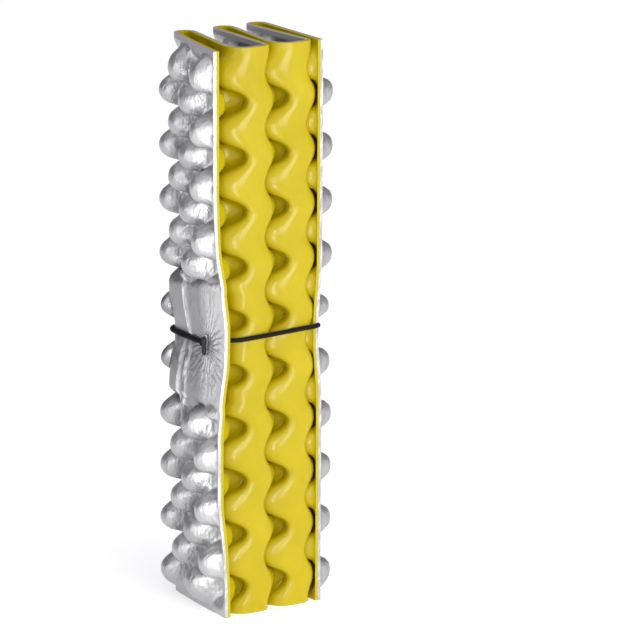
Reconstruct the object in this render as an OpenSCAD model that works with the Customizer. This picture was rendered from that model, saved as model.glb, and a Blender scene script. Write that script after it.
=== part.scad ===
// Accordion-fold foam pad, folded and standing on its cut end.
// Six egg-crate panels nest in each other. A cord round the middle holds them shut.
// X runs across the stack, Y from the front strips to the back folds, Z up the creases.

/* [Sheet] */
// Height of the folded pad, which is the width of the sheet
pad_h = 330; // [250:5:400]
// Thickness of the yellow base foam
yellow_t = 1.8; // [1:0.1:2]
// Thickness of the grey upper foam with its silver film
silver_t = 1.7; // [1:0.1:2]

/* [Stack] */
// Depth of the stack, from the front strips to the back folds
pad_depth = 64.4; // [60:0.4:76]
// Distance between two nested panels at the front
nest_gap = 5.5; // [5.5:0.1:7]
// Distance between the two panels that one front strip joins
strip_w = 22; // [16:0.5:26]
// How far the first back fold sits to the right of its panels' front ends
lean_1 = 4; // [2:0.25:8]
// How far the second back fold sits to the right of its panels' front ends
lean_2 = 2.25; // [0:0.25:8]
// How far the third back fold sits to the left of its panels' front ends
lean_3 = 3; // [0:0.25:4]
// Middle radius of a back fold
fold_r = 5; // [4.5:0.25:6]
// Middle radius of a front corner
corner_r = 3.25; // [3:0.25:4]
// Place of the stack's middle across the part
stack_x = 3; // [-4:0.1:4]

/* [Egg-crate] */
// Height of a bump above the middle of the sheet, where panels nest
bump_h = 8.5; // [4:0.25:9]
// Height of the bumps on the two outer faces of the stack
outer_bump_h = 12; // [8:0.25:13]
// Rows of bumps along a crease
bump_rows = 20; // [16:2:24]

/* [Cord] */
// Diameter of the elastic cord
cord_d = 2.6; // [2:0.1:3]
// Length of the crossbar that stops the cord at its slit
bar_l = 11.5; // [8:0.5:16]
// Diameter of the crossbar
bar_d = 2.8; // [2:0.1:3.2]
// Length of the slit in the first panel
slit_l = 13; // [10:0.5:16]

/* [Hidden] */
PANELS = [1, 2, 3, 4, 5, 6];
BACK_FOLDS = [1, 2, 3];
STRIPS = ["a", "b"];
SIDES = ["left", "right"];
LAYERS = ["yellow", "silver"];

sheet_t = yellow_t + silver_t;
front_y = -pad_depth / 2;
back_y = pad_depth / 2;
// Where the front corners and the back folds begin
corner_y = front_y + sheet_t / 2 + corner_r;
fold_y = back_y - sheet_t / 2 - fold_r;
// Clear space between a bent piece and the flat pieces beside it
seam = 0.1;

// Middle of each panel across the stack, at its front end and at its back fold
half_stack = strip_w + 1.5 * nest_gap;
front_x = [for (i = [0:5]) stack_x - half_stack + ceil(i / 2) * nest_gap + floor(i / 2) * strip_w];
lean = [lean_1, lean_2, -lean_3];
fold_x = [for (f = [0:2]) (front_x[2 * f] + front_x[2 * f + 1]) / 2 + lean[f]];

// The first panel's free edge stands out from the stack, except where the cord pulls it in:
// height as a share of the pad's, and how far out
FLARE = [[0, 0.5], [0.1, 1.5], [0.18, 5], [0.33, 5], [0.4, 3.25], [0.45, 1.7], [0.52, 1.7],
    [0.58, 4], [0.65, 7.5], [1, 7.5]];
// The last panel's free edge is pulled in by the cord: height, and how far in
PINCH = [[0, 0], [0.38, 0], [0.46, 1.5], [0.52, 1.5], [0.6, 0], [1, 0]];

// Egg-crate: four columns of bumps between the front corners and the back folds
columns = 4;
column_w = (fold_y - corner_y) / columns;
row_h = pad_h / (bump_rows + 1);
// The cord crosses the middle row, where the bumps are pressed flat
cord_row = bump_rows / 2;
cord_z = cord_row * row_h;

slit_y = -9;
slit_w = cord_d + 0.8;
// Clear space between the crossbar and the first panel
bar_gap = 0.35;

// Middle line of the cord: from the crossbar back along panel 1, round the back folds,
// forward along panel 6, across the front strips, and inside panel 1 to the slit
CORD = [
    [-30.86, -6.5, 157], [-30.35, 2, 157], [-30, 8, 157], [-29.65, 14, 157], [-29.25, 20.5, 157],
    [-28.95, 25.5, 157], [-28, 29.4, 157], [-25, 32.6, 157], [-20.5, 33.9, 157], [-13, 33.9, 157],
    [-6, 33.9, 157], [1, 33.9, 157], [8, 33.9, 157], [15, 33.9, 157], [22, 33.9, 157],
    [27.5, 33.9, 157], [32, 32.6, 157], [35, 29.4, 157], [35.95, 25.5, 157], [35.9, 20, 157],
    [35.85, 14, 157.3], [35.75, 8, 158], [35.65, 2, 159], [35.55, -4, 160.2], [35.5, -10, 161.5],
    [35.4, -16, 162.7], [35.35, -22, 163.7], [35.3, -28, 164.4], [35.1, -31.2, 164.8],
    [34.2, -33.2, 165], [32.2, -33.9, 165], [25, -33.9, 164.8], [18, -33.9, 164.6],
    [11, -33.9, 164.4], [4, -33.9, 164.2], [-3, -33.9, 164], [-10, -33.9, 163.8],
    [-16, -33.9, 163.7], [-19, -33.8, 163.5], [-22.3, -32.65, 163.4], [-24.5, -30.2, 163.2],
    [-25.2, -27.2, 162.7], [-24.75, -22, 161.5], [-24.3, -17, 160], [-23.9, -13, 158.5],
    [-24.1, -10.6, 157.5], [-25.6, -9.2, 157], [-29.2, -9, 157],
];
cord_sides = 8;

yellow = [0.84, 0.76, 0.2];
silver = [0.82, 0.82, 0.84];
cord_black = [0.06, 0.06, 0.07];

// The panels' front ends: the two outer panels run on to a free edge
function panel_front_y(i) = i == 0 || i == 5 ? front_y : corner_y;
function panel_back_x(i) = fold_x[floor(i / 2)] + (i % 2 == 0 ? -fold_r : fold_r);
function flare(i, z) =
    i == 0 ? -lookup(z / pad_h, FLARE) : i == 5 ? -lookup(z / pad_h, PINCH) : 0;

// Middle of a panel without its bumps
function panel_x(i, y, z) =
    let (share = (fold_y - y) / (fold_y - panel_front_y(i)))
    panel_back_x(i) + (front_x[i] + flare(i, z) - panel_back_x(i)) * share;

// How much of a bump's height is left near the cord: 1 is all, 0 is none
function spared(column, row) =
    let (away = abs(row - cord_row))
    column == 0 ? (away == 0 ? 0 : 1) : max(0, min(1, away / 1.5 - 2 / 3));

// How far a bump of panel i stands out along X
function bump(i, column, row) =
    let (
        way = (row % 2 == 0 ? 1 : -1) * (column % 2 == 0 ? 1 : -1),
        outer = (i == 0 && way < 0) || (i == 5 && way > 0)
    )
    row < 1 || row > bump_rows || column < 0 || column >= columns
        ? 0
        : way * (outer ? outer_bump_h : bump_h) * spared(column, row);

// Grid lines across a panel, as [y, column]: each bump is flat over the middle half of its width
function grid_y(i) = concat(
    [[fold_y, -1]],
    [for (c = [0:columns - 1], side = [0.25, 0.75]) [fold_y - (c + side) * column_w, c]],
    [[corner_y, -1]],
    panel_front_y(i) < corner_y ? [[panel_front_y(i), -1]] : []
);

// Grid lines up a panel, as [z, row]: the end rows reach towards the cut edges
function grid_z() = concat(
    [[0, 0]],
    [for (r = [1:bump_rows], side = [-1, 1])
        let (reach = (r == 1 && side < 0) || (r == bump_rows && side > 0) ? 0.6 : 0.25)
        [(r + side * reach) * row_h, r]],
    [[pad_h, 0]]
);

// One foam layer of panel i, between two distances from the middle of the sheet
module egg_crate(i, low, high) {
    ys = grid_y(i);
    zs = grid_z();
    n = len(ys);
    m = len(zs);
    points = [for (offset = [low, high], z = zs, y = ys)
        [panel_x(i, y[0], z[0]) + bump(i, y[1], z[1]) + offset, y[0], z[0]]];
    top = n * m;
    cells = [for (r = [0:m - 2], c = [0:n - 2]) r * n + c];
    low_faces = [for (k = cells, f = [[k, k + n, k + 1], [k + 1, k + n, k + n + 1]]) f];
    high_faces = [for (f = low_faces) [f[2] + top, f[1] + top, f[0] + top]];
    rim = concat(
        [for (c = [0:n - 2]) c],
        [for (r = [0:m - 2]) r * n + n - 1],
        [for (c = [n - 1:-1:1]) (m - 1) * n + c],
        [for (r = [m - 1:-1:1]) r * n]
    );
    rim_faces = [for (k = [0:len(rim) - 1])
        let (a = rim[k], b = rim[(k + 1) % len(rim)])
        for (f = [[a, b, a + top], [b, b + top, a + top]]) f];
    polyhedron(points, concat(low_faces, high_faces, rim_faces), convexity = 10);
}

// A hole right through the first panel
module slit() {
    translate([panel_x(0, slit_y, cord_z), slit_y, cord_z])
    cube([4 * sheet_t, slit_w, slit_l], center = true);
}

// Silver faces left on panels 1, 3 and 5, and right on panels 2, 4 and 6
module panel(i, layer) {
    half = sheet_t / 2;
    silver_left = i % 2 == 0;
    low = layer == "silver" ? (silver_left ? -half : half - silver_t)
        : (silver_left ? silver_t - half : -half);
    high = low + (layer == "silver" ? silver_t : yellow_t);
    color(layer == "silver" ? silver : yellow)
    difference() {
        egg_crate(i, low, high);
        if (i == 0) slit();
    }
}

// A quarter or half ring, kept on the side that the cube covers
module bent_band(x, y, inner_r, outer_r, keep_from, keep_size) {
    translate([x, y, 0])
    intersection() {
        difference() {
            cylinder(h = pad_h, r = outer_r, $fn = 48);
            translate([0, 0, -1]) cylinder(h = pad_h + 2, r = inner_r, $fn = 48);
        }
        translate([keep_from[0], keep_from[1], -1]) cube([keep_size[0], keep_size[1], pad_h + 2]);
    }
}

// The sheet turned back on itself: yellow inside, silver outside
module back_fold(f, layer) {
    inner_r = fold_r - sheet_t / 2;
    outer_r = fold_r + sheet_t / 2;
    color(layer == "silver" ? silver : yellow)
    bent_band(fold_x[f], fold_y,
        layer == "silver" ? inner_r + yellow_t : inner_r,
        layer == "silver" ? outer_r : inner_r + yellow_t,
        [-outer_r - 1, seam], [2 * outer_r + 2, outer_r + 1]);
}

// Middle line of a strip's corner on one side, across the stack
function corner_x(s, side) = side == "left"
    ? front_x[2 * s + 1] + corner_r
    : front_x[2 * s + 2] - corner_r;

module front_strip(s, layer) {
    left = corner_x(s, "left") + seam;
    width = corner_x(s, "right") - corner_x(s, "left") - 2 * seam;
    color(layer == "silver" ? silver : yellow)
    translate([left, layer == "silver" ? front_y + yellow_t : front_y, 0])
    cube([width, layer == "silver" ? silver_t : yellow_t, pad_h]);
}

// The sheet turned through a right angle: yellow outside, silver inside
module strip_corner(s, side, layer) {
    inner_r = corner_r - sheet_t / 2;
    outer_r = corner_r + sheet_t / 2;
    size = outer_r + 1;
    color(layer == "silver" ? silver : yellow)
    bent_band(corner_x(s, side), corner_y,
        layer == "silver" ? inner_r : inner_r + silver_t,
        layer == "silver" ? inner_r + silver_t : outer_r,
        [side == "left" ? -size : 0, -size - seam], [size, size]);
}

function unit(v) = v / norm(v);

// A tube swept along a list of points, with a flat end at each
module tube(path, d) {
    last = len(path) - 1;
    rings = [for (k = [0:last])
        let (
            along = unit(path[min(k + 1, last)] - path[max(k - 1, 0)]),
            side = unit(cross(along, [0, 0, 1])),
            up = cross(side, along)
        )
        for (a = [0:cord_sides - 1])
            let (turn = 360 * (a + 0.5) / cord_sides)
            path[k] + d / 2 * (cos(turn) * side + sin(turn) * up)];
    walls = [for (k = [0:last - 1], a = [0:cord_sides - 1])
        let (
            p = k * cord_sides + a,
            q = k * cord_sides + (a + 1) % cord_sides
        )
        for (f = [[p, q, p + cord_sides], [q, q + cord_sides, p + cord_sides]]) f];
    start = [for (a = [cord_sides - 1:-1:0]) a];
    end = [for (a = [0:cord_sides - 1]) last * cord_sides + a];
    polyhedron(rings, concat([start], walls, [end]), convexity = 10);
}

module elastic_cord() {
    color(cord_black) tube(CORD, cord_d);
}

// A bar with tapered ends, upright across the slit
module cord_crossbar() {
    taper = 2.5;
    end_r = 0.8;
    bar_x = panel_x(0, slit_y, cord_z) - sheet_t / 2 - bar_gap - bar_d / 2;
    color(cord_black)
    translate([bar_x, slit_y, cord_z - bar_l / 2])
    rotate_extrude($fn = 32)
    polygon([[0, 0], [end_r, 0], [bar_d / 2, taper], [bar_d / 2, bar_l - taper], [end_r, bar_l],
        [0, bar_l]]);
}

for (i = [0:5], layer = LAYERS)
    panel(i, layer);
for (f = [0:2], layer = LAYERS)
    back_fold(f, layer);
for (s = [0, 1], layer = LAYERS)
    front_strip(s, layer);
for (s = [0, 1], side = SIDES, layer = LAYERS)
    strip_corner(s, side, layer);
elastic_cord();
cord_crossbar();
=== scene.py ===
import math

import bpy
import numpy as np
from mathutils import Matrix, Vector


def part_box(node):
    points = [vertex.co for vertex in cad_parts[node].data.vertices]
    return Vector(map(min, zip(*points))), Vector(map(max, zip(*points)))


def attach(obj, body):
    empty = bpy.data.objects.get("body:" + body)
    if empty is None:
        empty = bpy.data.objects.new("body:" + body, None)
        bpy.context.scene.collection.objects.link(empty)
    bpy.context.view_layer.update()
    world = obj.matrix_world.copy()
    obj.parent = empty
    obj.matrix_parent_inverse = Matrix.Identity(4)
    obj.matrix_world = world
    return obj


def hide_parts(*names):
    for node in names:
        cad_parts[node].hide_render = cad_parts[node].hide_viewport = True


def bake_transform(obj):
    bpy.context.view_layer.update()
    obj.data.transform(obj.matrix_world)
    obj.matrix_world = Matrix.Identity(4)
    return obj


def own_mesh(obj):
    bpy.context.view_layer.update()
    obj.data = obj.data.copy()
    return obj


# Accordion-fold foam pad, folded and held by a cord. Lengths are in millimetres until a mesh is made.

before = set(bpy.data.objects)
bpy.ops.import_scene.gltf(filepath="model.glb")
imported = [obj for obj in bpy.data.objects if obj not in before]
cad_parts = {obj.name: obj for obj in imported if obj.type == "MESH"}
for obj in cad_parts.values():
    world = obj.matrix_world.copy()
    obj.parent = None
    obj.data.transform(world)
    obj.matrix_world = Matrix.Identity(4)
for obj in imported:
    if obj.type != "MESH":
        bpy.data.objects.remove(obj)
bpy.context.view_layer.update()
MM = 0.001

# ---------------------------------------------------------------- sizes, from the frame


def box_mm(node):
    """Lowest and highest corner of a CAD node, in millimetres."""
    low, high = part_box(node)
    return np.array(low) / MM, np.array(high) / MM


def both(*nodes):
    """The box round several CAD nodes, in millimetres."""
    corners = [box_mm(n) for n in nodes]
    return np.min([c[0] for c in corners], axis=0), np.max([c[1] for c in corners], axis=0)


pad_h = box_mm("panel_1_silver_foam")[1][2]
strip_low, strip_high = both("front_strip_a_yellow_foam", "front_strip_a_silver_foam")
front_y = strip_low[1]
sheet_t = strip_high[1] - strip_low[1]
yellow_t = np.ptp([c[1] for c in box_mm("front_strip_a_yellow_foam")])
fold_boxes = [both(f"back_fold_{f}_silver_foam") for f in (1, 2, 3)]
back_y = fold_boxes[0][1][1]
fold_y = box_mm("panel_1_silver_foam")[1][1]
fold_r = (fold_boxes[0][1][0] - fold_boxes[0][0][0] - sheet_t) / 2
fold_x = [(low[0] + high[0]) / 2 for low, high in fold_boxes]


def strip_ends(letter):
    """Middle of the panel at each end of a front strip, across the stack."""
    left = both(f"strip_{letter}_left_corner_yellow_foam")[0][0]
    right = both(f"strip_{letter}_right_corner_yellow_foam")[1][0]
    return left + sheet_t / 2, right - sheet_t / 2


panel_2_x, panel_3_x = strip_ends("a")
panel_4_x, panel_5_x = strip_ends("b")
nest_gap = panel_4_x - panel_3_x
front_x = [panel_2_x - nest_gap, panel_2_x, panel_3_x, panel_4_x, panel_5_x, panel_5_x + nest_gap]
stack_x = (panel_3_x + panel_4_x) / 2

# Bumps: rows up a crease, columns from the back fold to the front
BUMP_ROWS = 20
BUMP_COLUMNS = 4
# How far they stand out on each side, and how much of that is left in the middle of a front strip
SILVER_BUMP = 10.8
YELLOW_BUMP = 7.2
STRIP_WAVE = 0.3
# The drawn radius of a front strip's two corners
LEFT_CORNER_R = 10
RIGHT_CORNER_R = 4
row_h = pad_h / (BUMP_ROWS + 1)
cord_z = BUMP_ROWS / 2 * row_h
bar_low, bar_high = box_mm("cord_crossbar")
slit_y = (bar_low[1] + bar_high[1]) / 2

# ---------------------------------------------------------------- camera

CAMERA_TURN = math.radians(31.54)
CAMERA_RISE = math.radians(14.76)
CAMERA_ROLL = math.radians(0.32)
CAMERA_AWAY = 2.5
CAMERA_LENS = 246.0
CAMERA_BEHIND = 33.2
AIM_RIGHT = 0.0438
AIM_DOWN = 0.0006


def make_camera():
    """Looks from the front left and above.

    It aims a little to the right of the pad, which stands left of the middle.
    """
    centre = Vector((stack_x * MM, (front_y + CAMERA_BEHIND) * MM, pad_h / 2 * MM))
    towards = Vector((
        -math.sin(CAMERA_TURN) * math.cos(CAMERA_RISE),
        -math.cos(CAMERA_TURN) * math.cos(CAMERA_RISE),
        math.sin(CAMERA_RISE),
    ))
    right = Vector((math.cos(CAMERA_TURN), -math.sin(CAMERA_TURN), 0))
    up = towards.cross(right)
    place = centre + towards * CAMERA_AWAY
    aim = centre + right * AIM_RIGHT - up * AIM_DOWN
    data = bpy.data.cameras.new("camera")
    data.lens = CAMERA_LENS
    data.sensor_width = 36
    data.clip_end = 20
    camera = bpy.data.objects.new("camera", data)
    bpy.context.scene.collection.objects.link(camera)
    turn = (aim - place).to_track_quat("-Z", "Y").to_matrix().to_4x4()
    camera.matrix_world = Matrix.Translation(place) @ turn @ Matrix.Rotation(CAMERA_ROLL, 4, "Z")
    bpy.context.scene.camera = camera


# ---------------------------------------------------------------- the sheet's shape

# How far the first panel's free edge stands out, in millimetres, at shares of the pad's height
FLARE_AT = [0, 0.06, 0.13, 0.2, 0.33, 0.4, 0.45, 0.52, 0.58, 0.65, 0.75, 1]
FLARE_BY = [0.3, 0.6, 2.0, 5.0, 5.0, 2.6, 0.0, -0.4, 2.2, 6.5, 7.8, 7.8]
# How far the cord pulls the last panel's free edge in
PINCH_AT = [0, 0.38, 0.46, 0.52, 0.6, 1]
PINCH_BY = [0, 0, 2.2, 2.2, 0, 0]
EDGE_BLUR = 9
EDGE_BLUR_WIDTH = 5

# Points lie this far apart along the sheet, and rows of points this far apart up it
STEP = 0.5
ROW_STEP = 1.5
# The rows at the two cut ends, which stay level
RIM = 2.8
RIM_ROWS = np.array([0, 0.4, 1.4, 2.4])
LEVEL_END = 0.5
# Steps over which a kink and the share of a stretch are softened
KINK_STEPS = 4
SHARE_STEPS = 12


def smooth(t):
    t = np.clip(t, 0, 1)
    return t * t * (3 - 2 * t)


def bell(t):
    return np.exp(-(t ** 2))


def falls(distance, start, over):
    """1 up to a start, and smoothly down to 0 over the next stretch."""
    return 1 - smooth((distance - start) / over)


def blurred(z, at, by):
    """A table's value at height z, smoothed so that an edge bends without kinks."""
    spread = np.arange(-EDGE_BLUR, EDGE_BLUR + 1)
    weight = bell(spread / EDGE_BLUR_WIDTH)
    near = np.interp((z + spread) / pad_h, at, by)
    return float(near @ weight / weight.sum())


def line(a, b):
    """Points about a step apart. Their number doesn't depend on how far the line leans."""
    run = abs(b[1] - a[1]) or abs(b[0] - a[0])
    t = np.linspace(0, 1, int(run / STEP), endpoint=False)[:, None]
    return np.array(a) + t * (np.array(b) - np.array(a))


def arc(centre, r, start, end):
    n = int(abs(math.radians(end - start)) * r / STEP)
    turn = np.radians(np.linspace(start, end, n, endpoint=False))
    return np.array(centre) + r * np.stack([np.cos(turn), np.sin(turn)], 1)


def plan(z):
    """The middle line of the whole sheet at height z, and where each stretch of it starts and ends."""
    fronts = list(front_x)
    fronts[0] -= blurred(z, FLARE_AT, FLARE_BY)
    fronts[5] -= blurred(z, PINCH_AT, PINCH_BY)
    strip_y = front_y + sheet_t / 2
    left_bend_y, right_bend_y = strip_y + LEFT_CORNER_R, strip_y + RIGHT_CORNER_R
    parts, names = [], []

    def add(name, points):
        names.append(name)
        parts.append(points)

    for k in range(3):
        a, b = 2 * k, 2 * k + 1
        begin = front_y if a == 0 else right_bend_y
        end = front_y if b == 5 else left_bend_y
        left, right = fold_x[k] - fold_r, fold_x[k] + fold_r
        add(f"panel_{a + 1}", line((fronts[a], begin), (left, fold_y)))
        add(f"back_fold_{k + 1}", arc((fold_x[k], fold_y), fold_r, 180, 0))
        add(f"panel_{b + 1}", line((right, fold_y), (fronts[b], end)))
        if k < 2:
            s = "ab"[k]
            left, right = fronts[b] + LEFT_CORNER_R, fronts[b + 1] - RIGHT_CORNER_R
            add(f"strip_{s}_left_corner", arc((left, left_bend_y), LEFT_CORNER_R, 180, 270))
            add(f"front_strip_{s}", line((left, strip_y), (right, strip_y)))
            add(f"strip_{s}_right_corner", arc((right, right_bend_y), RIGHT_CORNER_R, 270, 360))
    last = np.array([[fronts[5], front_y]])
    starts = np.cumsum([0] + [len(p) for p in parts])
    return np.concatenate(parts + [last]), dict(zip(names, zip(starts[:-1], starts[1:])))


def rounded(points, reach, **ends):
    """Takes the kinks out of a line of points. The ends say how np.pad makes the line longer first."""
    weight = bell(np.arange(-2 * reach, 2 * reach + 1) / reach)
    weight /= weight.sum()
    longer = np.pad(points, ((2 * reach, 2 * reach), (0, 0)), **ends)
    return np.stack([np.convolve(column, weight, "valid") for column in longer.T], 1)


RANGES = plan(0)[1]
rows_z = np.concatenate([
    RIM_ROWS, np.linspace(RIM, pad_h - RIM, int(pad_h / ROW_STEP)), pad_h - RIM_ROWS[::-1],
])
plans = np.array([rounded(plan(z)[0], KINK_STEPS, mode="reflect", reflect_type="odd") for z in rows_z])
total = plans.shape[1]


def share_of(*names):
    """1 along the named stretches of the sheet and 0 elsewhere, with soft ends."""
    flat = np.zeros(total)
    for name in names:
        first, last = RANGES[name]
        flat[first:last + (name == "panel_6")] = 1
    weight = np.hanning(2 * SHARE_STEPS + 3)[1:-1]
    longer = np.pad(flat, SHARE_STEPS, mode="edge")
    return np.convolve(longer, weight / weight.sum(), "valid")


def row_wave(z):
    """Up a column the bumps take turns from side to side; the end ones reach to the cut edges' rims."""
    up = z / row_h
    if up < 1:
        return -smooth((z - RIM) / (row_h - RIM))
    if up > BUMP_ROWS:
        return smooth((pad_h - RIM - z) / (row_h - RIM))
    return math.cos(math.pi * up)


# Free edges are flat this far from the front
FLAT_EDGE = 7.5
# Near the front, the wave is lower at a strip's corners, and uneven at its right ones
NEAR_FRONT = (5, 9)
LOWER_RIGHT = 0.6
LOWER_LEFT = 0.2
UNEVEN_RIGHT = 0.35
# Inner panels wave softly, and outer ones have fuller domes
SOFTNESS = 1.15
OUTER_FULLER = 0.6

# How far up or down from the cord its work reaches, and over how far that fades:
# the first panel is pressed flat, and the hollow of its fold and the last panel's bumps give way
CRUSHED = (31, 9)
BRIDGED = (4, 8)
GROOVED = (1.5, 7)
NEXT_PRESSED = 0.95
FOLD_SOFT = 3
FAINT = 0.02
# The cord's rise on the last panel, from the front to the back
RISE_Y = [-28, -16, -4, 8, 14]
RISE_Z = [7.3, 5.6, 3.1, 0.9, 0]
# The first panel bows out, and less near the cord
BOW = 0.8
BOW_PRESSED = 0.7
BOW_NEAR = (15, 30)


def bump_wave(y, z, outer):
    """The bumps of the whole sheet, from -1 to 1, before the cord presses any."""
    column_w = (back_y - front_y) / BUMP_COLUMNS
    across = np.clip((back_y - y) / column_w, 0, BUMP_COLUMNS)
    column = np.sin(np.pi * across)
    depth = y - front_y
    right_turn = share_of("strip_a_right_corner", "strip_b_right_corner", "panel_3", "panel_5")
    left_turn = share_of("strip_a_left_corner", "strip_b_left_corner")
    near_front = falls(depth, *NEAR_FRONT)
    in_front = falls(depth, 0, column_w / 2)
    lower = (LOWER_RIGHT * right_turn + LOWER_LEFT * left_turn) * near_front
    strip_wave = -(1 - (1 - STRIP_WAVE) * in_front) * (1 - lower)
    in_strip = column * outer + strip_wave * (1 - outer)
    column = np.where(across > BUMP_COLUMNS - 0.5, in_strip, column)
    column = column * (1 - outer * falls(depth, 0, FLAT_EDGE))
    wave = column * np.array([row_wave(h) for h in rows_z])[:, None]
    wave = wave * (1 + UNEVEN_RIGHT * right_turn * near_front * np.sign(wave))
    softness = SOFTNESS - OUTER_FULLER * outer
    return wave * np.sqrt((1 + softness ** 2) / (wave ** 2 + softness ** 2))


def make_grid():
    """The sheet's middle surface, bumps and all, and the direction to its silver side."""
    x, y = plans[..., 0], plans[..., 1]
    z = np.repeat(rows_z[:, None], total, 1)
    first = share_of("panel_1")
    first_and_fold = share_of("panel_1", "back_fold_1")
    wave = bump_wave(y, z, share_of("panel_1", "panel_6"))
    looks_left = smooth(plan_normals[..., 0] * -0.5 + 0.5)
    # the cord presses the first panel's bumps flat, as far as its fold
    away = np.abs(z - cord_z)
    before_fold = smooth((fold_y + FOLD_SOFT / 2 - y) / FOLD_SOFT)
    crushed = falls(away, *CRUSHED)
    pressed = first_and_fold * looks_left * before_fold * crushed
    wave = wave * (1 - pressed)
    # what would stand out into the pressed panel is pressed too
    beside = share_of("panel_2", "strip_a_left_corner")
    wave = wave * (1 - (wave < 0) * beside * crushed * NEXT_PRESSED)
    # the cord bridges the hollow between two bumps of the first fold
    wave = wave * (1 - (wave > 0) * first_and_fold * falls(away, *BRIDGED))
    # and it presses a groove into the last panel's bumps
    off_cord = np.abs(z - cord_z - np.interp(y, RISE_Y, RISE_Z))
    grooved = share_of("back_fold_3", "panel_6") * falls(off_cord, *GROOVED)
    wave = wave * (1 - grooved * (wave > 0))
    left = wave * np.where(wave < 0, SILVER_BUMP, YELLOW_BUMP)
    right = wave * np.where(wave < 0, YELLOW_BUMP, SILVER_BUMP)
    out = left * looks_left + right * (1 - looks_left)
    # the first panel bows out between its free edge and its fold
    bow = BOW * np.sin(np.pi * np.clip((y - front_y) / (fold_y - front_y), 0, 1)) * first
    out = out - bow * (1 - BOW_PRESSED * falls(away, *BOW_NEAR))
    # where it is crushed it has no hollows, only its creases
    out = out - np.maximum(out, 0) * first * (first > FAINT) * crushed
    dent = creases(y, z, away) * crushed * first
    at_fold = first * (1 - before_fold) * crushed
    out = out * (1 - pressed) + dent * pressed + (np.minimum(out, dent) - out) * at_fold
    surface = np.stack([x + out, y, z], -1)
    along = np.gradient(surface, axis=1)
    up = np.gradient(surface, rows_z, axis=0)
    normal = np.cross(up, along)
    # the cut ends stay level
    normal[..., 2] *= smooth((np.minimum(z, pad_h - z) - LEVEL_END) / RIM)
    return surface, normal / np.linalg.norm(normal, axis=-1)[..., None]


# The crushed panel stands out behind the slit and a little in front of it: how far, and over what length
BACK_RISE = 1.5
BACK_RISE_FAR = 5.5
FAR_FROM_CORD = 15
BACK_SLOPE = 30
BACK_SHAPE = 0.7
FRONT_RISE = 0.8
FRONT_SLOPE = 18
# Its sharp upright creases: where from front to back, and from where to where off the cord
SHARP_CREASES = [(7, (1, 40)), (12.5, (-42, -3)), (6.5, (-44, -4))]
CREASE_RISE = 1.3
CREASE_WIDTH = 1.4
CREASE_END = 6
# The dimple round the slit, the groove of the slit itself and the dent under the cord
DIMPLE_DEPTH = 1.3
DIMPLE_R = 6
DIMPLE_TALL = 0.8
SLIT_DEPTH = 1.6
SLIT_WIDTH = 1.6
SLIT_HALF = (5, 3)
CORD_DENT = 1.0
CORD_DENT_WIDTH = 3
CORD_DENT_START = 4


def creases(y, z, away):
    """The crushed first panel: a valley at the slit, sharp upright folds and the slit's groove."""
    behind = y - slit_y
    far = 1 - bell(away / FAR_FROM_CORD)
    back = (BACK_RISE + BACK_RISE_FAR * far) * np.clip(behind / BACK_SLOPE, 0, 1) ** BACK_SHAPE
    front = FRONT_RISE * np.clip(-behind / FRONT_SLOPE, 0, 1)
    ridges = np.zeros_like(y)
    for y_middle, (low, high) in SHARP_CREASES:
        up = z - cord_z
        length = smooth((up - low) / CREASE_END) * smooth((high - up) / CREASE_END)
        ridges += CREASE_RISE * bell((y - y_middle) / CREASE_WIDTH) * length
    dimple = DIMPLE_DEPTH * bell(np.hypot(behind, (z - cord_z) * DIMPLE_TALL) / DIMPLE_R)
    groove = SLIT_DEPTH * bell(behind / SLIT_WIDTH) * falls(away, *SLIT_HALF)
    under_cord = CORD_DENT * bell(away / CORD_DENT_WIDTH) * smooth(behind / CORD_DENT_START)
    return dimple + groove + under_cord - back - front - ridges


def make_plan_normals():
    along = np.gradient(plans, axis=1)
    along /= np.linalg.norm(along, axis=-1)[..., None]
    return np.stack([-along[..., 1], along[..., 0]], -1)


plan_normals = make_plan_normals()
GRID, NORMALS = make_grid()
# Steep flanks are thinner, as they are in pressed foam, and leave the nested panel beside them room
NEST_SHARE = 0.45
steepness = np.abs((NORMALS[..., :2] * plan_normals).sum(-1))
YELLOW_OUT = np.minimum(sheet_t / 2, NEST_SHARE * nest_gap * steepness)


def surface(first, last, level, stride):
    """The sheet from one place along its length to another: level is yellow, middle or silver."""
    picks = list(range(first, last, stride))
    if last - picks[-1] < stride / 2 and len(picks) > 1:
        picks.pop()
    picks = np.array(picks + [last])
    offset = {
        "yellow": -YELLOW_OUT[:, picks],
        "middle": np.full((len(rows_z), len(picks)), yellow_t - sheet_t / 2),
        "silver": np.full((len(rows_z), len(picks)), sheet_t / 2),
    }[level]
    points = GRID[:, picks] + offset[..., None] * NORMALS[:, picks]
    points[..., 2] = np.clip(points[..., 2], 0, pad_h)
    return points, picks


# ---------------------------------------------------------------- meshes


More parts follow.
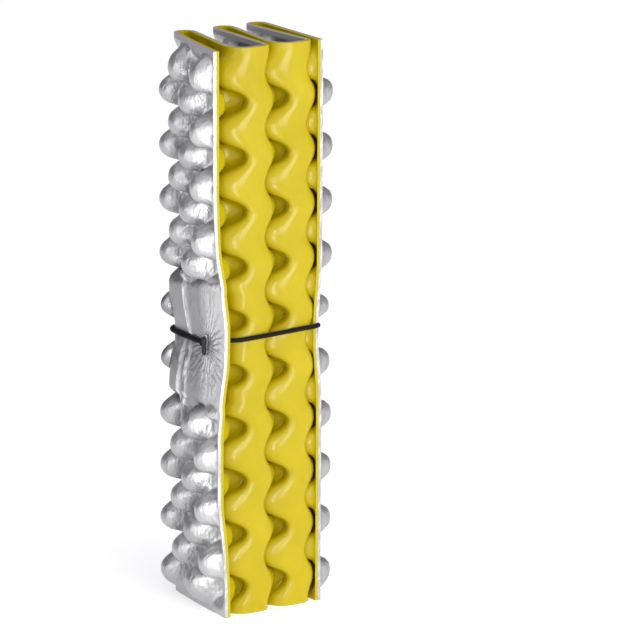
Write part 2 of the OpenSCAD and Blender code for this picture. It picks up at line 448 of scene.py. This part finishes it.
def solid(name, low, high, skin_on_high, skin, cut, rim_rows=0, skin_ends=False):
    """A closed sheet between two grids of points.

    The outer face has the skin material, apart from the top rim_rows rows. The rest is cut foam, or skin
    on the upright ends if skin_ends is set.
    """
    rows, columns = low.shape[:2]
    size = rows * columns
    grid = np.arange(size).reshape(rows, columns)
    a, b = grid[:-1, :-1], grid[:-1, 1:]
    c, d = grid[1:, 1:], grid[1:, :-1]
    low_quads = np.stack([a, b, c, d], -1).reshape(-1, 4)
    high_quads = low_quads[:, ::-1] + size
    rim = np.concatenate([grid[0, :-1], grid[:-1, -1], grid[-1, :0:-1], grid[:0:-1, 0]])
    after = np.roll(rim, -1)
    rim_quads = np.stack([after, rim, rim + size, after + size], -1)
    quads = np.concatenate([low_quads, high_quads, rim_quads])
    points = np.concatenate([low.reshape(-1, 3), high.reshape(-1, 3)]) * MM
    mesh = bpy.data.meshes.new(name)
    mesh.from_pydata(points.tolist(), [], quads.tolist())
    index = np.ones(len(quads), np.int32)
    start = len(low_quads) if skin_on_high else 0
    face = np.zeros((rows - 1, columns - 1), np.int32)
    if rim_rows:
        face[-rim_rows:] = 1
    index[start:start + len(low_quads)] = face.ravel()
    if skin_ends:
        walls = 2 * len(low_quads) + columns - 1
        index[walls:walls + rows - 1] = 0
        index[walls + rows - 1 + columns - 1:] = 0
    mesh.materials.append(skin)
    mesh.materials.append(cut)
    mesh.polygons.foreach_set("material_index", index)
    mesh.polygons.foreach_set("use_smooth", np.ones(len(quads), bool))
    on_rim = np.zeros(2 * size, bool)
    on_rim[rim] = True
    on_rim[rim + size] = True
    ends = np.zeros(len(mesh.edges) * 2, np.int32)
    mesh.edges.foreach_get("vertices", ends)
    ends = ends.reshape(-1, 2)
    same_face = (ends[:, 0] < size) == (ends[:, 1] < size)
    sharp = on_rim[ends].all(1) & same_face
    mesh.attributes.new("sharp_edge", "BOOLEAN", "EDGE").data.foreach_set("value", sharp)
    mesh.update()
    obj = bpy.data.objects.new(name, mesh)
    bpy.context.scene.collection.objects.link(obj)
    return obj


# ---------------------------------------------------------------- materials


class Tree:
    """The nodes of a material or of the world, with short ways to add to them."""

    def __init__(self, owner):
        owner.use_nodes = True
        self.nodes, self.links = owner.node_tree.nodes, owner.node_tree.links

    def add(self, kind, **values):
        """A node with its inputs and settings filled in, in the order given."""
        n = self.nodes.new(kind)
        for key, value in values.items():
            if key in n.inputs:
                n.inputs[key].default_value = value
            else:
                setattr(n, key, value)
        return n

    def texture(self, kind, place, **values):
        n = self.add(kind, **values)
        self.links.new(place, n.inputs["Vector"])
        return n

    def ramp(self, source, *stops):
        r = self.nodes.new("ShaderNodeValToRGB")
        for k, (place, colour) in enumerate(stops):
            if k >= len(r.color_ramp.elements):
                r.color_ramp.elements.new(place)
            r.color_ramp.elements[k].position = place
            r.color_ramp.elements[k].color = (*colour, 1)
        self.links.new(source, r.inputs["Fac"])
        return r.outputs["Color"]

    def maths(self, operation, *sources):
        n = self.add("ShaderNodeMath", operation=operation)
        for k, source in enumerate(sources):
            if isinstance(source, (int, float)):
                n.inputs[k].default_value = source
            else:
                self.links.new(source, n.inputs[k])
        return n.outputs[0]

    def product(self, first, *others):
        for other in others:
            first = self.maths("MULTIPLY", first, other)
        return first

    def mapped(self, source, low, high, to_low=0.0, to_high=1.0, kind="SMOOTHSTEP"):
        n = self.add("ShaderNodeMapRange", interpolation_type=kind)
        self.links.new(source, n.inputs["Value"])
        ends = {"From Min": low, "From Max": high, "To Min": to_low, "To Max": to_high}
        for key, value in ends.items():
            n.inputs[key].default_value = value
        return n.outputs["Result"]

    def mixed(self, share, source, colour):
        n = self.add("ShaderNodeMix", data_type="RGBA")
        self.links.new(share, n.inputs["Factor"])
        self.links.new(source, n.inputs[6])
        n.inputs[7].default_value = (*colour, 1)
        return n.outputs[2]

    def bump(self, height, strength, distance, under=None):
        n = self.add("ShaderNodeBump", Strength=strength, Distance=distance)
        self.links.new(height, n.inputs["Height"])
        if under is not None:
            self.links.new(under, n.inputs["Normal"])
        return n.outputs["Normal"]


class Paint(Tree):
    """A material, and the place its textures are laid by."""

    def __init__(self, name):
        self.material = bpy.data.materials.new(name)
        super().__init__(self.material)
        self.shader = self.nodes["Principled BSDF"]
        self.place = self.nodes.new("ShaderNodeTexCoord").outputs["Object"]

    def done(self, colour, normal, **values):
        """Links the colour and the normal, fills in the rest and gives the material."""
        self.links.new(colour, self.shader.inputs["Base Color"])
        self.links.new(normal, self.shader.inputs["Normal"])
        for key, value in values.items():
            self.shader.inputs[key.replace("_", " ")].default_value = value
        return self.material


def yellow_foam():
    """Smooth closed-cell skin with faint mottling and very fine pores."""
    p = Paint("yellow_foam")
    cloud = p.texture("ShaderNodeTexNoise", p.place, Scale=38.0, Detail=4.0, Roughness=0.55).outputs["Fac"]
    tint = p.ramp(cloud, (0.3, (0.45, 0.345, 0.003)), (0.7, (0.50, 0.39, 0.006)))
    pores = p.texture("ShaderNodeTexVoronoi", p.place, Scale=1700.0).outputs["Distance"]
    normal = p.bump(pores, strength=0.06, distance=0.0003)
    normal = p.bump(cloud, strength=0.15, distance=0.0012, under=normal)
    return p.done(tint, normal,
                  Roughness=0.22, Specular_IOR_Level=0.27, Subsurface_Weight=0.12,
                  Subsurface_Radius=(0.004, 0.003, 0.001), Subsurface_Scale=1.0)


PUCKER_COUNT = 27.0
PUCKER_WOBBLE = 16.0
PUCKER_TALL = 0.3
# Metres from the slit
PUCKER_END = 0.03
PUCKER_FULL = 0.005
PUCKER_BEHIND = 0.005
PUCKER_BEFORE = -0.003
PUCKER_FAINT = 0.2


class FirstPanel:
    """Picks out places on the first panel's silver face, for its film. Sizes are in millimetres."""

    def __init__(self, paint):
        self.paint = paint
        axes = paint.nodes.new("ShaderNodeSeparateXYZ")
        paint.links.new(paint.place, axes.inputs[0])
        self.y, self.z = axes.outputs["Y"], axes.outputs["Z"]
        self.there = paint.maths("LESS_THAN", axes.outputs["X"], (front_x[0] + sheet_t) * MM)

    def between(self, source, low, high, soft):
        """1 where the source lies from low to high, and 0 beyond, with soft ends."""
        middle, half = (low + high) / 2, (high - low) / 2
        off = self.paint.maths("ABSOLUTE", self.paint.maths("SUBTRACT", source, middle * MM))
        return self.paint.mapped(off, (half + soft) * MM, max(0.0, half - soft) * MM)

    def patch(self, y_range, z_range, soft_y, soft_z):
        """A rectangle of the face; its heights count from the cord."""
        along = self.between(self.y, *y_range, soft_y)
        up = self.between(self.z, cord_z + z_range[0], cord_z + z_range[1], soft_z)
        return self.paint.product(along, up, self.there)

    def puckers(self, noise):
        """Fine ridges in the film that run to the slit, and fade away from it and behind it."""
        p = self.paint
        y = p.maths("SUBTRACT", self.y, slit_y * MM)
        z = p.maths("SUBTRACT", self.z, cord_z * MM)
        turn = p.product(p.maths("ARCTAN2", z, y), PUCKER_COUNT)
        ridges = p.maths("SINE", p.maths("ADD", turn, p.product(noise, PUCKER_WOBBLE)))
        tall = p.product(z, z, PUCKER_TALL)
        r = p.maths("SQRT", p.maths("ADD", p.product(y, y), tall))
        fade = p.mapped(r, PUCKER_END, PUCKER_FULL)
        in_front = p.mapped(y, PUCKER_BEHIND, PUCKER_BEFORE, to_low=PUCKER_FAINT)
        return p.product(ridges, fade, p.product(self.there, in_front))


# Painted light on the first panel's film: painted shade on the pressed facet, painted reflections at the
# free edge and in front of the slit, and painted highlights on sharp creases
PAINTED_SHADE_FILM = (0.30, 0.30, 0.305)
PAINTED_REFLECTION_FILM = (0.66, 0.66, 0.665)
CREASE_HIGHLIGHT_FILM = (0.9, 0.9, 0.9)
# How much of the painted shade shows in the pressed film, and of the painted reflection at the free edge
PAINTED_SHADE_SHARE = 0.85
EDGE_REFLECTION_SHARE = 0.4
# Patches of the first panel's film that get painted shade and painted reflections, from front to back, and
# up and down from the cord
PAINTED_SHADE_Y = (slit_y + 2, fold_y + 4)
PAINTED_SHADE_Z = (-44, 42)
EDGE_REFLECTION_Y = (front_y - 20, slit_y - 12)
EDGE_REFLECTION_Z = (-200, 200)
SLIT_REFLECTION_Y = (front_y - 20, slit_y - 1)
SLIT_REFLECTION_Z = (-40, 38)
CREASE_HALF = 1.2
# The crinkles between which a crease's painted highlight shows, and the film's roughness
BROKEN = (0.6, 1.2)
ROUGHNESS = (0.36, 0.46)


def foil():
    """Aluminised film: bright, finely crinkled, with painted highlights along short sharp creases and
    painted shade and reflections on the first panel.
    """
    p = Paint("silver_film")
    warp = p.texture("ShaderNodeTexNoise", p.place, Scale=120.0, Detail=3.0).outputs["Fac"]
    stretched = p.texture("ShaderNodeMapping", p.place, Rotation=(0.5, 0.2, 0.0),
                          Scale=(1.0, 1.6, 0.55)).outputs["Vector"]
    broad = p.texture("ShaderNodeTexNoise", p.place, Scale=75.0, Detail=2.0, Roughness=0.5).outputs["Fac"]
    crinkle, fine = (
        p.texture("ShaderNodeTexNoise", stretched, noise_type="RIDGED_MULTIFRACTAL",
                  Scale=scale, Detail=detail, Roughness=0.5, Offset=1.0, Gain=2.0).outputs["Fac"]
        for scale, detail in ((130.0, 3.0), (380.0, 2.0)))
    panel = FirstPanel(p)
    normal = p.bump(panel.puckers(warp), strength=0.5, distance=0.0008)
    normal = p.bump(crinkle, strength=0.55, distance=0.0004, under=normal)
    normal = p.bump(fine, strength=0.55, distance=0.0002, under=normal)
    normal = p.bump(broad, strength=0.3, distance=0.0025, under=normal)
    colour = p.ramp(warp, (0.35, (0.42, 0.42, 0.425)), (0.65, (0.50, 0.50, 0.505)))
    # the first panel's film gets painted shade where pressed, a painted reflection at its free edge and in
    # front of the slit, and painted highlights on sharp creases
    painted_shade = panel.patch(PAINTED_SHADE_Y, PAINTED_SHADE_Z, soft_y=2, soft_z=8)
    colour = p.mixed(p.product(painted_shade, PAINTED_SHADE_SHARE), colour, PAINTED_SHADE_FILM)
    # painted reflection: the film is made lighter at the free edge and in front of the slit
    edge = panel.patch(EDGE_REFLECTION_Y, EDGE_REFLECTION_Z, soft_y=4, soft_z=5)
    slit_reflection = panel.patch(SLIT_REFLECTION_Y, SLIT_REFLECTION_Z, soft_y=2, soft_z=12)
    bright = p.maths("MAXIMUM", p.product(edge, EDGE_REFLECTION_SHARE), slit_reflection)
    colour = p.mixed(bright, colour, PAINTED_REFLECTION_FILM)
    # painted highlights: the film is made whiter along the sharp creases, broken up by the crinkles
    broken = p.mapped(crinkle, *BROKEN, kind="LINEAR")
    for y_middle, z_range in SHARP_CREASES:
        crease_y = (y_middle - CREASE_HALF, y_middle + CREASE_HALF)
        crease = panel.patch(crease_y, z_range, soft_y=1.6, soft_z=3)
        colour = p.mixed(p.product(crease, broken), colour, CREASE_HIGHLIGHT_FILM)
    rough = p.mapped(warp, 0.0, 1.0, *ROUGHNESS, kind="LINEAR")
    p.links.new(rough, p.shader.inputs["Roughness"])
    return p.done(colour, normal, Metallic=0.9)


def cut_foam(name, dark, light):
    """The cells that show where the sheet was cut."""
    p = Paint(name)
    cells = p.texture("ShaderNodeTexVoronoi", p.place, Scale=1500.0).outputs["Distance"]
    tint = p.ramp(cells, (0.1, dark), (0.8, light))
    return p.done(tint, p.bump(cells, strength=0.4, distance=0.0004), Roughness=0.85)


def cord_cloth():
    """Black braid with a little lint."""
    p = Paint("cord_cloth")
    lint = p.texture("ShaderNodeTexNoise", p.place, Scale=1800.0, Detail=3.0).outputs["Fac"]
    tint = p.ramp(lint, (0.3, (0.003, 0.003, 0.0035)), (0.75, (0.012, 0.012, 0.014)))
    return p.done(tint, p.bump(lint, strength=0.3, distance=0.0002),
                  Roughness=0.7, Specular_IOR_Level=0.12, Sheen_Weight=0.03)


def bar_plastic():
    """Black plastic with a fine grain."""
    p = Paint("bar_plastic")
    grain = p.texture("ShaderNodeTexNoise", p.place, Scale=2500.0, Detail=2.0).outputs["Fac"]
    tint = p.ramp(grain, (0.3, (0.008, 0.008, 0.009)), (0.7, (0.018, 0.018, 0.02)))
    return p.done(tint, p.bump(grain, strength=0.15, distance=0.0001),
                  Roughness=0.5, Specular_IOR_Level=0.3)


YELLOW = yellow_foam()
YELLOW_CUT = cut_foam("yellow_cut", (0.40, 0.32, 0.006), (0.52, 0.42, 0.014))
FOIL = foil()
GREY_CUT = cut_foam("grey_cut", (0.33, 0.31, 0.36), (0.46, 0.44, 0.49))
CORD_CLOTH = cord_cloth()
BAR_PLASTIC = bar_plastic()

# ---------------------------------------------------------------- foam pieces

# Every so many of the points along the sheet are drawn
PANEL_STRIDE = 3
BEND_STRIDE = 2
# The bends, with the bodies at their two ends
BENDS = {
    "back_fold_1": ("panel_1", "panel_2"),
    "strip_a_left_corner": ("panel_2", "front_strip_a"),
    "strip_a_right_corner": ("front_strip_a", "panel_3"),
    "back_fold_2": ("panel_3", "panel_4"),
    "strip_b_left_corner": ("panel_4", "front_strip_b"),
    "strip_b_right_corner": ("front_strip_b", "panel_5"),
    "back_fold_3": ("panel_5", "panel_6"),
}


def foam_layer(name, layer):
    """One foam of one stretch of the sheet."""
    first, last = RANGES[name]
    low, high = ("yellow", "middle") if layer == "yellow" else ("middle", "silver")
    stride = PANEL_STRIDE if name.startswith(("panel", "front")) else BEND_STRIDE
    low_points, picks = surface(first, last, low, stride)
    high_points, picks = surface(first, last, high, stride)
    if layer == "yellow":
        obj = solid(f"{name}_{layer}", low_points, high_points, False, YELLOW, YELLOW_CUT)
    else:
        obj = solid(f"{name}_{layer}", low_points, high_points, True, FOIL, GREY_CUT,
                    rim_rows=len(RIM_ROWS), skin_ends=True)
    if name in BENDS:
        blend_by_length(obj, picks)
    else:
        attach(obj, name)
    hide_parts(f"{name}_{layer}_foam")


def blend_by_length(obj, picks):
    """The piece's points are laid out by their share of the sheet's length, its transform is baked, and
    its points are put back.
    """
    count = len(obj.data.vertices)
    final = np.zeros(count * 3)
    obj.data.vertices.foreach_get("co", final)
    share = (picks - picks[0]) / (picks[-1] - picks[0])
    laid_out = np.zeros((count, 3))
    laid_out[:, 0] = np.tile(share, count // len(picks))
    obj.data.vertices.foreach_set("co", laid_out.ravel())
    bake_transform(obj)
    obj.data.vertices.foreach_set("co", final)
    obj.data.update()


def make_sheet():
    for name in RANGES:
        for layer in ("yellow", "silver"):
            foam_layer(name, layer)


# ---------------------------------------------------------------- cord and crossbar

CORD = [
    (-30.86, -6.5, 157), (-30.35, 2, 157), (-30, 8, 157), (-29.65, 14, 157), (-29.25, 20.5, 157),
    (-28.95, 25.5, 157), (-28, 29.4, 157), (-25, 32.6, 157), (-20.5, 33.9, 157), (-13, 33.9, 157),
    (-6, 33.9, 157), (1, 33.9, 157), (8, 33.9, 157), (15, 33.9, 157), (22, 33.9, 157),
    (27.5, 33.9, 157), (32, 32.6, 157), (35, 29.4, 157), (35.95, 25.5, 157), (35.9, 20, 157),
    (35.85, 14, 157.3), (35.75, 8, 158), (35.65, 2, 159), (35.55, -4, 160.2), (35.5, -10, 161.5),
    (35.4, -16, 162.7), (35.35, -22, 163.7), (35.3, -28, 164.4), (35.1, -31.2, 164.8),
    (34.2, -33.2, 165), (32.2, -33.9, 165), (25, -33.9, 164.8), (18, -33.9, 164.6),
    (11, -33.9, 164.4), (4, -33.9, 164.2), (-3, -33.9, 164), (-10, -33.9, 163.8),
    (-16, -33.9, 163.7), (-19, -33.8, 163.5), (-22.3, -32.65, 163.4), (-24.5, -30.2, 163.2),
    (-25.2, -27.2, 162.7), (-24.75, -22, 161.5), (-24.3, -17, 160), (-23.9, -13, 158.5),
    (-24.1, -10.6, 157.5), (-25.6, -9.2, 157), (-29.2, -9, 157),
]
CORD_D = 2.6
STRANDS = 8
BRAID_PITCH = 9.0
BRAID_SUNK = 0.16
BRAID_RISE = 0.18
CORD_TIP = 0.6
SIDES = 32
# How far the cord's middle stands off a face, and what keeps it clear of the edge and the slit
CORD_PROUD = 1.1
CORD_STEP = 0.45
BEFORE_SLIT = 0.5
OFF_EDGE = 2
EDGE_TURN = 1
OFF_SLIT = 2
CUT_AT_BAR = 4
CORD_SMOOTH_STEPS = 7
# The bar is drawn a little into the pressed foam, with rounded ends and a waist under the cord
BAR_SUNK = (1.3, -0.8, -1.0)
BAR_RINGS = 49
BAR_END = 2.6
BAR_TIP = 0.25
BAR_TIP_ROUND = 6
BAR_TIP_LEAST = 0.02
BAR_WAIST = 0.35
BAR_WAIST_WIDTH = 0.9


def spline(points, step):
    """A smooth curve through the points, as points a step apart."""
    p = np.array(points, float)
    q = np.concatenate([[2 * p[0] - p[1]], p, [2 * p[-1] - p[-2]]])
    out = []
    for k in range(1, len(q) - 2):
        n = max(2, int(np.linalg.norm(q[k + 1] - q[k]) / step))
        t = np.linspace(0, 1, n, endpoint=False)[:, None]
        out.append(0.5 * (2 * q[k] + (q[k + 1] - q[k - 1]) * t
                          + (2 * q[k - 1] - 5 * q[k] + 4 * q[k + 1] - q[k + 2]) * t ** 2
                          + (3 * q[k] - q[k - 1] - 3 * q[k + 1] + q[k + 2]) * t ** 3))
    return np.concatenate(out + [p[-1:]])


def silver_face(name, y, z):
    """How far across the silver face of an outer panel lies at a place."""
    first, last = RANGES[name]
    row = int(np.argmin(np.abs(rows_z - z)))
    faces = GRID[row, first:last] + sheet_t / 2 * NORMALS[row, first:last]
    order = np.argsort(faces[:, 1])
    return float(np.interp(y, faces[order, 1], faces[order, 0]))


def cord_route():
    """The CAD's route, laid on the drawn faces of the two outer panels and pulled tight.

    It starts just in front of the slit, and ends under the bar.
    """
    route = spline([(CORD[0][0], slit_y - BEFORE_SLIT, CORD[0][2])] + CORD, CORD_STEP)[:-CUT_AT_BAR]
    for point in route:
        x, y, z = point
        if x > front_x[5] and y < fold_y:
            face = silver_face("panel_6", max(y, front_y + OFF_EDGE), z)
            point[0] = face + CORD_PROUD + min(0, y - front_y - EDGE_TURN)
        elif x < bar_high[0] and slit_y + OFF_SLIT < y < fold_y:
            point[0] = silver_face("panel_1", y, z) - CORD_PROUD
    return rounded(route, CORD_SMOOTH_STEPS, mode="edge")


def tube(name, mesh_name, rings, skin):
    """A closed tube through rings of points."""
    count, sides = rings.shape[:2]
    quads = [(k * sides + a, k * sides + (a + 1) % sides,
              (k + 1) * sides + (a + 1) % sides, (k + 1) * sides + a)
             for k in range(count - 1) for a in range(sides)]
    caps = [tuple(range(sides - 1, -1, -1)), tuple((count - 1) * sides + a for a in range(sides))]
    mesh = bpy.data.meshes.new(mesh_name)
    mesh.from_pydata((rings.reshape(-1, 3) * MM).tolist(), [], quads + caps)
    mesh.materials.append(skin)
    mesh.polygons.foreach_set("use_smooth", np.ones(len(mesh.polygons), bool))
    obj = bpy.data.objects.new(name, mesh)
    bpy.context.scene.collection.objects.link(obj)
    return obj


def make_cord():
    """A braided tube: two sets of strands wind opposite ways and pass over each other."""
    middle = cord_route()
    along = np.gradient(middle, axis=0)
    along /= np.linalg.norm(along, axis=1)[:, None]
    side = np.cross(along, (0, 0, 1))
    side /= np.linalg.norm(side, axis=1)[:, None]
    up = np.cross(side, along)
    length = np.concatenate([[0], np.cumsum(np.linalg.norm(np.diff(middle, axis=0), axis=1))])
    turn = np.linspace(0, 2 * math.pi, SIDES, endpoint=False)
    wind = length[:, None] * (2 * math.pi / BRAID_PITCH)
    one = np.abs(np.sin(STRANDS / 2 * (turn[None] + wind)))
    other = np.abs(np.sin(STRANDS / 2 * (turn[None] - wind)))
    radius = CORD_D / 2 - BRAID_SUNK + BRAID_RISE * np.maximum(one, other)
    radius[[0, -1]] *= CORD_TIP
    rings = (middle[:, None] + radius[..., None] * (
        np.cos(turn)[None, :, None] * side[:, None] + np.sin(turn)[None, :, None] * up[:, None]))
    obj = tube("braided_cord", "elastic_cord", rings, CORD_CLOTH)
    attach(obj, "panel_1")
    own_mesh(obj)
    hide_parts("elastic_cord")


def make_crossbar():
    """A turned bar with tapered, rounded ends and a groove for the cord at its middle."""
    centre = (bar_low + bar_high) / 2 + np.array(BAR_SUNK)
    long, r = bar_high[2] - bar_low[2], (bar_high[0] - bar_low[0]) / 2
    t = np.linspace(0, 1, BAR_RINGS)
    end = np.clip(np.minimum(t, 1 - t) * long / BAR_END, 0, 1)
    radius = r * (BAR_TIP + (1 - BAR_TIP) * np.sin(np.pi / 2 * end))
    radius *= np.sqrt(np.clip(end * BAR_TIP_ROUND, BAR_TIP_LEAST, 1))
    radius -= BAR_WAIST * bell((t - 0.5) * long / BAR_WAIST_WIDTH)
    turn = np.linspace(0, 2 * math.pi, SIDES, endpoint=False)
    rings = np.empty((BAR_RINGS, SIDES, 3))
    rings[..., 0] = centre[0] + radius[:, None] * np.cos(turn)
    rings[..., 1] = centre[1] + radius[:, None] * np.sin(turn)
    rings[..., 2] = centre[2] + long * (t[:, None] - 0.5)
    obj = tube("crossbar", "crossbar", rings, BAR_PLASTIC)
    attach(obj, "panel_1")
    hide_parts("cord_crossbar")


# ---------------------------------------------------------------- floor and light

FLOOR_HALF = 6
FLOOR_GLOW = 0.45
LIGHTS_AIM = Vector((0, 0, 0.16))
# The studio is bright on the side that faces this way
BRIGHT_SIDE = (-0.05, -0.95, 0.3)


def make_floor():
    mesh = bpy.data.meshes.new("floor")
    corners = [(-1, -1), (1, -1), (1, 1), (-1, 1)]
    mesh.from_pydata([(FLOOR_HALF * x, FLOOR_HALF * y, 0) for x, y in corners], [], [(0, 1, 2, 3)])
    paint = bpy.data.materials.new("floor_paint")
    shader = Tree(paint).nodes["Principled BSDF"]
    shader.inputs["Base Color"].default_value = (0.94, 0.94, 0.94, 1)
    shader.inputs["Emission Color"].default_value = (1, 1, 1, 1)
    shader.inputs["Emission Strength"].default_value = FLOOR_GLOW
    shader.inputs["Roughness"].default_value = 0.8
    mesh.materials.append(paint)
    floor = bpy.data.objects.new("floor", mesh)
    bpy.context.scene.collection.objects.link(floor)


def area_light(name, place, size, power, shine_only=False):
    data = bpy.data.lights.new(name, "AREA")
    data.shape = "RECTANGLE"
    data.size, data.size_y = size
    data.energy = power
    light = bpy.data.objects.new(name, data)
    light.visible_camera = False
    light.visible_diffuse = not shine_only
    light.location = place
    light.rotation_euler = (LIGHTS_AIM - Vector(place)).to_track_quat("-Z", "Y").to_euler()
    bpy.context.scene.collection.objects.link(light)


def make_lights():
    """A pale studio, brighter in front of the pad than behind it.

    Two of its lights only make the film shine.
    """
    world = bpy.data.worlds.new("studio")
    bpy.context.scene.world = world
    tree = Tree(world)
    place = tree.nodes.new("ShaderNodeTexCoord")
    facing = tree.add("ShaderNodeVectorMath", operation="DOT_PRODUCT")
    tree.links.new(place.outputs["Generated"], facing.inputs[0])
    facing.inputs[1].default_value = BRIGHT_SIDE
    tint = tree.ramp(facing.outputs["Value"],
                     (0.0, (0.24, 0.24, 0.26)), (0.25, (0.34, 0.34, 0.36)), (0.9, (1, 1, 1)))
    background = tree.nodes["Background"]
    tree.links.new(tint, background.inputs["Color"])
    background.inputs["Strength"].default_value = 1.0
    area_light("key", (0.2, -2.0, 0.4), size=(1.2, 0.8), power=23)
    area_light("top", (-0.2, 0.4, 2.4), size=(2.6, 2.6), power=15)
    area_light("left_shine", (-1.5, -0.6, 0.5), size=(1.3, 1.2), power=9, shine_only=True)
    area_light("front_shine", (-0.1, -0.26, 0.14), size=(0.008, 0.28), power=0.36, shine_only=True)


bpy.context.scene.view_settings.view_transform = "Standard"
make_camera()
make_sheet()
make_cord()
make_crossbar()
make_floor()
make_lights()
bpy.context.view_layer.update()
